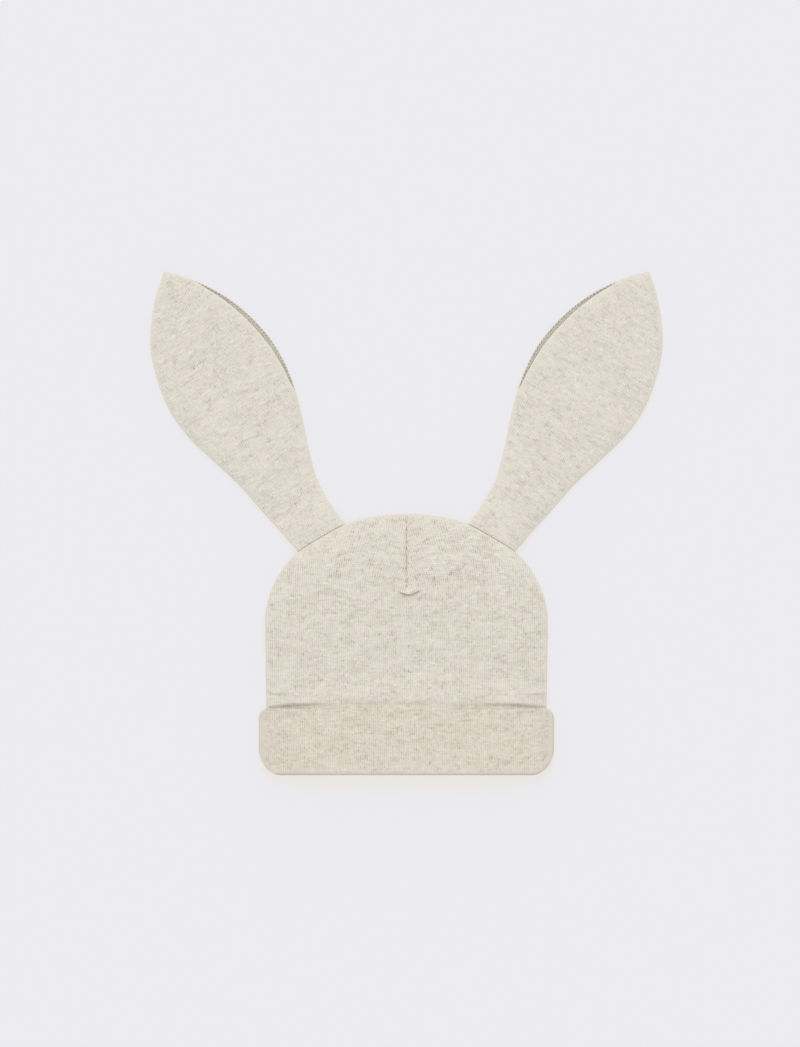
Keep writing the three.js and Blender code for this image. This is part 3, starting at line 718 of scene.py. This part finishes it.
def sew(name, points, pitch, length, thickness, lean, seed, unevenness=0.1):
    """Stitches along a line of points, as one plain mesh that rides on the hat. Sizes are in
    millimetres, and the lean of each stitch is in degrees."""
    path = bpy.data.meshes.new(name + "_path")
    path.from_pydata((np.asarray(points) * MM).tolist(), [(i, i + 1) for i in range(len(points) - 1)], [])
    guide = bpy.data.objects.new(name + "_path", path)
    bpy.context.scene.collection.objects.link(guide)
    modifier = guide.modifiers.new("stitches", "NODES")
    modifier.node_group = sewing
    inputs = {"Pitch": pitch * MM, "Length": length * MM, "Thickness": thickness * MM,
              "Lean": math.radians(lean), "Unevenness": unevenness, "Seed": seed, "Thread": thread}
    for item in sewing.interface.items_tree:
        if item.name in inputs:
            modifier[item.identifier] = inputs[item.name]
    evaluated = guide.evaluated_get(bpy.context.evaluated_depsgraph_get())
    mesh = bpy.data.meshes.new_from_object(evaluated)
    mesh.name = name
    mesh.shade_smooth()
    guide.modifiers.remove(modifier)
    bpy.data.objects.remove(guide)
    stitches = bpy.data.objects.new(name, mesh)
    bpy.context.scene.collection.objects.link(stitches)
    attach(stitches, "root")


DART_SEWN_FROM = 1.5
DART_SEWN_BELOW_TOP = 1.2
STITCH_LIFT = 0.02
dart_y = np.linspace(DART_END_Y + DART_SEWN_FROM, top_y - DART_SEWN_BELOW_TOP, 60)
dart_x = np.zeros_like(dart_y)
dart_distance = outline_distance(np.stack([dart_x, dart_y], -1), crown_outline())
dart_z = front_height(dart_x, dart_y, dart_distance) + dart_relief(dart_x, dart_y) + STITCH_LIFT
sew("dart_stitches", np.stack([dart_x, dart_y, dart_z], -1),
    pitch=3.8, length=2.1, thickness=0.46, lean=9, seed=5, unevenness=0.4)

# --- Crown back ----------------------------------------------------------------------------
# The same jersey cut to the same outline. The hat lies on it, so it is flat underneath and
# turns up over a small radius to the side seam; the band lifts its lower edge off the table.

UNDERSIDE_REACH = 6.0
BAND_LEG_UNDERSIDE_Z = 1.9
CROWN_BACK_CLOTH_SHIFT = 300


def back_height(y, distance):
    """Lower face of the crown back, which lies on the table or on the band's inner leg."""
    base = SEAM_Z - SEAM_GAP / 2
    low = BAND_LEG_UNDERSIDE_Z * near_band(y)
    return base - (base - low) * puff_share(distance, UNDERSIDE_REACH)


back_across = (np.sin(np.linspace(-1, 1, 121) * np.pi / 2) + 1) / 2
side_rows = np.linspace(0, SIDE_SEAM_SHARE, 50)[:-1]
dome_rows = SIDE_SEAM_SHARE + (1 - SIDE_SEAM_SHARE) * np.sin(np.linspace(0, np.pi / 2, 70))
back_plan = crown_net(back_across, np.concatenate([side_rows, dome_rows]))
bx, by = back_plan[..., 0], back_plan[..., 1]
back_distance = outline_distance(back_plan, crown_outline())
back_outer = np.dstack([bx, by, back_height(by, back_distance)])
back_inner = back_outer - face_normals(back_outer, back_distance, -1) * JERSEY_THICK
back_uv = np.stack([bx + CROWN_BACK_CLOTH_SHIFT, by], -1)
crown_back = cloth_wall("crown_back_panel", back_outer, back_inner, back_uv, back_uv, back_distance,
                        jersey, facing=-1)
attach(crown_back, "root")
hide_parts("crown_back")

SEAM_STITCH_INSET = 0.5
SEAM_STITCH_START_Y = CROWN_FOOT_Y + 4
seam_route = np.concatenate([
    [[-CROWN_FOOT_HALF_WIDTH, SEAM_STITCH_START_Y]], crown_outline()[1:-1],
    [[CROWN_FOOT_HALF_WIDTH, SEAM_STITCH_START_Y]]])
seam_inset = 1 - SEAM_STITCH_INSET / DOME_HALF_WIDTH
sew("side_seam_stitches", np.column_stack([
    seam_route[:, 0] * seam_inset, DOME_FOOT_Y + (seam_route[:, 1] - DOME_FOOT_Y) * seam_inset,
    np.full(len(seam_route), SEAM_Z)]),
    pitch=2.2, length=1.4, thickness=0.45, lean=25, seed=3)

# --- Turned-up band ------------------------------------------------------------------------
# A tube of doubled rib, sewn to the crown's lower edge and folded up outside itself. Both legs
# are two layers of cloth, so the fold at the mouth is soft and round.

BAND_HALF_WIDTH = 86.6
BAND_BOTTOM_Y = -147.0
INNER_LEG_TOP_Y = -117.0
INNER_LEG_HALF_WIDTH = 82.2
BAND_THICK = 1.6
LEG_GAP = 0.3
TOP_CORNER = (5.5, 5.5)
BOTTOM_CORNER = (11.0, 14.0)
BACK_FOLD_SHOWS = {"depth": 0.8, "from_side": 12}
BAND_PUCKERS = [{"x": 57.5, "y": -132.5, "length": 3.4, "width": 0.9, "turn": 25, "depth": 0.45}]
BAND_DEPTHS = [0.0, BAND_THICK, BAND_THICK + LEG_GAP, 2 * BAND_THICK + LEG_GAP]
BAND_HALF_WIDTHS = [INNER_LEG_HALF_WIDTH - BAND_THICK, INNER_LEG_HALF_WIDTH,
                    BAND_HALF_WIDTH - BAND_THICK, BAND_HALF_WIDTH]
RIB_WALE = 1.26

rib = knitted_heather("oatmeal_heather_rib", "#EFE8DA", "#DDD4C5", "#A39987",
                      wale=RIB_WALE, course=COURSE, relief=0.13)


def arc_points(centre_depth, centre_y, radius, start, end, steps):
    """Part of a round fold, as (depth in the cloth stack, y)."""
    angles = np.radians(np.linspace(start, end, steps + 1))
    return [(centre_depth + radius * math.cos(t), centre_y + radius * math.sin(t)) for t in angles]


def band_section(top, bottom):
    """Closed U section from the inner leg's top, down the mouth's fold and up to the outer edge."""
    inner_mid = BAND_THICK / 2
    outer_mid = 1.5 * BAND_THICK + LEG_GAP
    whole = 2 * BAND_THICK + LEG_GAP
    inside_fold = bottom + 2.4
    above_inside_fold = bottom + 3.4
    above_outside_fold = bottom + 2.9
    inner_leg_low, inner_leg_high = INNER_LEG_TOP_Y - 2, INNER_LEG_TOP_Y - 1.6
    outer_leg_inside, outer_leg_outside = top - 1.6, top - 1.7
    line = arc_points(inner_mid, INNER_LEG_TOP_Y - inner_mid, inner_mid, 180, 0, 4)
    line += [(BAND_THICK, y) for y in np.linspace(inner_leg_low, above_inside_fold, 14)]
    line += arc_points(BAND_THICK + LEG_GAP / 2, inside_fold, LEG_GAP / 2, 180, 360, 2)
    line += [(BAND_THICK + LEG_GAP, y) for y in np.linspace(above_inside_fold, outer_leg_inside, 16)]
    line += arc_points(outer_mid, top - inner_mid, inner_mid, 180, 0, 8)
    line += [(whole, y) for y in np.linspace(outer_leg_outside, above_outside_fold, 34)]
    line += arc_points(whole / 2, bottom + whole / 2, whole / 2, 0, -180, 14)
    line += [(0.0, y) for y in np.linspace(above_outside_fold, inner_leg_high, 20)]
    return np.array(line)


def corner_inset(x, corner):
    """How far a rounded corner, given as its width and height, draws the band's edge in."""
    into = np.clip((np.abs(x) - (BAND_HALF_WIDTH - corner[0])) / corner[0], 0, 1)
    return corner[1] * (1 - np.sqrt(1 - into * into))


def band_stations():
    """Places round the flattened tube, as x on its outside and whether it is on the front."""
    front_bend = CROWN_REACH * (1 - np.cos(np.linspace(0, np.pi / 2, 44)))
    back_bend = UNDERSIDE_REACH * (1 - np.cos(np.linspace(0, np.pi / 2, 12)))
    front_flat = np.linspace(BAND_HALF_WIDTH - CROWN_REACH, 0, 32)[1:]
    back_flat = np.linspace(BAND_HALF_WIDTH - UNDERSIDE_REACH, 0, 50)[1:]
    front_half = np.concatenate([BAND_HALF_WIDTH - front_bend, front_flat])
    back_half = np.concatenate([BAND_HALF_WIDTH - back_bend[1:], back_flat])
    front = np.concatenate([front_half, -front_half[-2::-1]])
    back = np.concatenate([-back_half, back_half[-2::-1]])
    return np.concatenate([front, back]), np.concatenate([np.ones(len(front)), np.zeros(len(back))])


station_x, station_front = band_stations()
band_rows = []
for x_place, is_front in zip(station_x, station_front):
    edge_y = band_edge_y(x_place) if is_front else BAND_TOP_Y
    bottom_y = BAND_BOTTOM_Y + corner_inset(x_place, BOTTOM_CORNER)
    if not is_front:
        shown = ramp(BAND_HALF_WIDTH - abs(x_place), 0, BACK_FOLD_SHOWS["from_side"])
        bottom_y -= BACK_FOLD_SHOWS["depth"] * shown
    section = band_section(edge_y - corner_inset(x_place, TOP_CORNER), bottom_y)
    depth, y_line = section[:, 0], section[:, 1]
    half_width = np.interp(depth, BAND_DEPTHS, BAND_HALF_WIDTHS)
    x_line = x_place * half_width / BAND_HALF_WIDTH
    from_side = half_width - np.abs(x_line)
    if is_front:
        top_z = BAND_LEG_TOP_Z - BAND_THICK + depth
        z_line = SEAM_Z + (top_z - SEAM_Z) * puff_share(from_side, CROWN_REACH)
    else:
        under_z = 2 * BAND_THICK + LEG_GAP - depth
        z_line = SEAM_Z - (SEAM_Z - under_z) * puff_share(from_side, UNDERSIDE_REACH)
    band_rows.append(np.stack([x_line, y_line, z_line], -1))
band_points = np.array(band_rows)
from_band_side = BAND_HALF_WIDTH - np.abs(band_points[..., 0])
on_front = station_front[:, None]
band_waves = gentle_waves(band_points[..., 0], band_points[..., 1], **FRONT_WAVES)
band_points[..., 2] += on_front * ramp(from_band_side, WAVES_START, WAVES_FULL) * band_waves
band_points[..., 2] += on_front * pucker_relief(band_points[..., 0], band_points[..., 1], BAND_PUCKERS)


def ring_length(line):
    """Lengths from the first point of a closed line to each next one, and back to the first."""
    steps = np.linalg.norm(np.diff(line, axis=0, append=line[:1]), axis=-1)
    return np.concatenate([[0], np.cumsum(steps)])


# The cloth's lengths are taken round the outer leg's face, and along the section at one place
OUTER_FACE_POINT = 60
MEASURED_STATION = 31
around_length = ring_length(band_points[:, OUTER_FACE_POINT])
across_length = ring_length(band_points[MEASURED_STATION])


def ring_piece(name, points, around, across, at_edge, material):
    """A ring of closed sections; its cloth coordinates run round the ring and along the section."""
    places, steps = points.shape[:2]
    i, j = np.meshgrid(np.arange(places), np.arange(steps), indexing="ij")
    i_next, j_next = (i + 1) % places, (j + 1) % steps
    faces = np.stack([i * steps + j, i * steps + j_next, i_next * steps + j_next, i_next * steps + j], -1)
    uvs = np.stack([
        np.stack([around[i], across[j]], -1), np.stack([around[i], across[j + 1]], -1),
        np.stack([around[i + 1], across[j + 1]], -1), np.stack([around[i + 1], across[j]], -1)], -2)
    return mesh_piece(name, points.reshape(-1, 3), faces.reshape(-1, 4).tolist(), uvs.reshape(-1, 4, 2),
                      at_edge, material)


# Strips along the band's sides and its mouth's fold, where the rib is painted lighter as a highlight
BAND_SIDE_STRIP = (1.5, 5.0)
BAND_FOLD_STRIP = (0.5, 2.5)
from_fold = band_points[..., 1] - BAND_BOTTOM_Y
band_edge = np.maximum(1 - ramp(from_band_side, *BAND_SIDE_STRIP), 1 - ramp(from_fold, *BAND_FOLD_STRIP))
band = ring_piece("turned_up_band", band_points, around_length, across_length, band_edge, rib)
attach(band, "root")
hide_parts("cuff")

# --- Ears ----------------------------------------------------------------------------------
# Each ear is two layers of jersey sewn round the edge and turned right side out, then caught
# in the dome seam. The front is a little narrower, so the back shows along the inner edge, in painted
# shade.

EAR_ROOT = np.array([51.2, -9.1])
EAR_LEAN = math.radians(31)
EAR_ROWS = [
    {"along": 2, "inner": 16.6, "outer": 15.6},
    {"along": 14, "inner": 15.9, "outer": 17.2},
    {"along": 32, "inner": 17.2, "outer": 20.5},
    {"along": 50, "inner": 22.4, "outer": 23.8},
    {"along": 70, "inner": 29.4, "outer": 29.3},
    {"along": 90, "inner": 34.6, "outer": 34.8},
    {"along": 110, "inner": 36.3, "outer": 36.5},
    {"along": 130, "inner": 33.4, "outer": 33.1},
    {"along": 150, "inner": 26.3, "outer": 25.6},
    {"along": 160, "inner": 20.7, "outer": 18.8},
    {"along": 168, "inner": 15.2, "outer": 12.1},
    {"along": 174, "inner": 10.4, "outer": 6.2},
    {"along": 178, "inner": 6.6, "outer": 1.4},
    {"along": 181.3, "inner": 2.9, "outer": -2.2},
]
EAR_SEAM_FROM = math.radians(40.6)
EAR_SEAM_TO = math.radians(65.4)
EAR_SEAM_GAP = 0.5
EAR_SEAM_Z = 1.7
EAR_PUFF = 2.3
EAR_REACH = 13.0
EAR_UNDERSIDE_REACH = 3.0
EAR_PINCH_LENGTH = 24.0
EAR_PINCHED = 1.25
EAR_BACK_SHOWS = {"from": 83, "to": 167, "width": 2.9, "fullness": 0.5}
EAR_HELD_LENGTH = 30
EAR_WAVES = {"height": 0.22, "wavelength": 42.0}
EAR_WAVES_FULL = 10
EAR_FULL_THICK_WIDTH = 4
EAR_LEAST_THICK = 0.1
EAR_CLOTH_SHIFT = {"front": 0, "back": 400, "side": 90}

# The back layers are a darker copy of the jersey: painted shade for the strip that lies in the front
# layer's shadow.
painted_shade_jersey = knitted_heather("painted_shade_heather_jersey", "#E4DED0", "#D1CBBB", "#A19A89",
                                wale=JERSEY_WALE, course=COURSE, relief=0.10)
ear_jersey = knitted_heather("pale_heather_jersey", "#EDE6DC", "#DCD4C8", "#A69C8F",
                             wale=JERSEY_WALE, course=COURSE, relief=0.08, contrast=0.93)


def smooth_through(places, values, at):
    """A smooth curve through a short table of values."""
    places, values = np.asarray(places, float), np.asarray(values, float)
    slopes = np.gradient(values, places)
    i = np.clip(np.searchsorted(places, at) - 1, 0, len(places) - 2)
    span = places[i + 1] - places[i]
    t = (at - places[i]) / span
    return ((2 * t ** 3 - 3 * t ** 2 + 1) * values[i] + (t ** 3 - 2 * t ** 2 + t) * span * slopes[i]
            + (3 * t ** 2 - 2 * t ** 3) * values[i + 1] + (t ** 3 - t ** 2) * span * slopes[i + 1])


def ear_plan(along, across):
    """Plan points of the right ear, from their places along it and across it towards the middle."""
    out = np.array([math.sin(EAR_LEAN), math.cos(EAR_LEAN)])
    inwards = np.array([-math.cos(EAR_LEAN), math.sin(EAR_LEAN)])
    return EAR_ROOT + along[..., None] * out + across[..., None] * inwards


def ear_seam_point(share):
    """Place just outside the dome seam, by its share of the stretch that holds the right ear."""
    step = 0.001
    angle = EAR_SEAM_FROM + (EAR_SEAM_TO - EAR_SEAM_FROM) * share
    point = dome_point(angle)
    along = dome_point(angle + step) - point
    outward = np.stack([along[..., 1], -along[..., 0]], -1)
    return point + EAR_SEAM_GAP * outward / np.linalg.norm(outward, axis=-1, keepdims=True)


def ear_net(lengths, shares, stops_short):
    """Plan points of a right ear's layer, their cloth coordinates, and the layer's half widths."""
    table = {key: [row[key] for row in EAR_ROWS] for key in EAR_ROWS[0]}
    inner = smooth_through(table["along"], table["inner"], lengths)
    outer = smooth_through(table["along"], table["outer"], lengths)
    if stops_short:
        start, end = EAR_BACK_SHOWS["from"], EAR_BACK_SHOWS["to"]
        share = np.clip((lengths - start) / (end - start), 0, 1)
        inner = inner - EAR_BACK_SHOWS["width"] * np.sin(np.pi * share) ** EAR_BACK_SHOWS["fullness"]
    along, across = np.meshgrid(lengths, shares, indexing="ij")
    middle, half = (inner - outer) / 2, (inner + outer) / 2
    across = middle[:, None] + across * half[:, None]
    plan = ear_plan(along, across)
    pull = ear_seam_point((shares + 1) / 2) - plan[0]
    held = np.clip(1 - (lengths - lengths[0]) / EAR_HELD_LENGTH, 0, 1) ** 2
    return plan + held[:, None, None] * pull, np.stack([across, along], -1), half


def outline_inwards(outline):
    """Unit vectors to the inside of an ear's outline, which runs up its outer edge first."""
    along = np.gradient(outline, axis=0)
    inwards = np.stack([-along[:, 1], along[:, 0]], -1)
    inwards *= np.sign(((outline.mean(0) - outline) * inwards).sum())
    return inwards / np.linalg.norm(inwards, axis=1, keepdims=True)


def ear_pinch(plan):
    """1 where the ear is pinched into the dome seam, falling to 0 further up the ear."""
    along = (plan - EAR_ROOT) @ [math.sin(EAR_LEAN), math.cos(EAR_LEAN)]
    return 1 - ramp(along, 0, EAR_PINCH_LENGTH)


def ear_seam_z(pinch):
    return EAR_SEAM_Z + (SEAM_Z - EAR_SEAM_Z) * pinch


def ear_layer(side, part, seed):
    """Front or back layer of the right (1) or left (-1) ear. The seam's stitches go with the back."""
    is_front = part == "front"
    tip_crowding = 1.5
    shares = np.sin(np.linspace(-1, 1, 57) * np.pi / 2)
    first, last = EAR_ROWS[0]["along"], EAR_ROWS[-1]["along"]
    lengths = last - (last - first) * (1 - np.linspace(0, 1, 161)) ** tip_crowding
    plan, uv, half_widths = ear_net(lengths, shares, is_front)
    outline = np.concatenate([plan[:, 0], plan[-1, 1:-1], plan[::-1, -1]])
    distance = outline_distance(plan, outline)
    pinch = ear_pinch(plan)
    way = 1 if is_front else -1
    free_puff = EAR_PUFF if is_front else EAR_SEAM_Z - SEAM_GAP / 2
    free_reach = EAR_REACH if is_front else EAR_UNDERSIDE_REACH
    puff = free_puff + (EAR_PINCHED - free_puff) * pinch
    reach = free_reach + (EAR_UNDERSIDE_REACH - free_reach) * pinch
    z = ear_seam_z(pinch) + way * (SEAM_GAP / 2 + puff * puff_share(distance, reach))
    if is_front:
        waves = gentle_waves(plan[..., 0], plan[..., 1], seed, **EAR_WAVES)
        z = z + waves * ramp(distance, 0, EAR_WAVES_FULL) * (1 - pinch)
    outer = np.dstack([side * plan[..., 0], plan[..., 1], z])
    thick = JERSEY_THICK * np.clip(half_widths / EAR_FULL_THICK_WIDTH, EAR_LEAST_THICK, 1)
    inner_face = outer - face_normals(outer, distance, way) * thick[:, None, None]
    name = ("right" if side > 0 else "left") + "_ear_" + part
    uv = uv * [side, 1] + [side * EAR_CLOTH_SHIFT["side"] + EAR_CLOTH_SHIFT[part], 0]
    piece = cloth_wall(name + "_layer", outer, inner_face, uv, uv, distance,
                       ear_jersey if is_front else painted_shade_jersey, facing=-side * way)
    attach(piece, "root")
    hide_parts(name)
    if not is_front:
        inset = outline + SEAM_STITCH_INSET * outline_inwards(outline)
        sew(name.replace("_back", "_seam_stitches"),
            np.column_stack([inset * [side, 1], ear_seam_z(ear_pinch(inset))]),
            pitch=2.2, length=1.4, thickness=0.4, lean=25, seed=seed)


EAR_STITCH_SEED = 31
EAR_WAVE_SEED = 37
for ear_side in (-1, 1):
    ear_layer(ear_side, "back", EAR_STITCH_SEED)
    ear_layer(ear_side, "front", EAR_WAVE_SEED + ear_side)
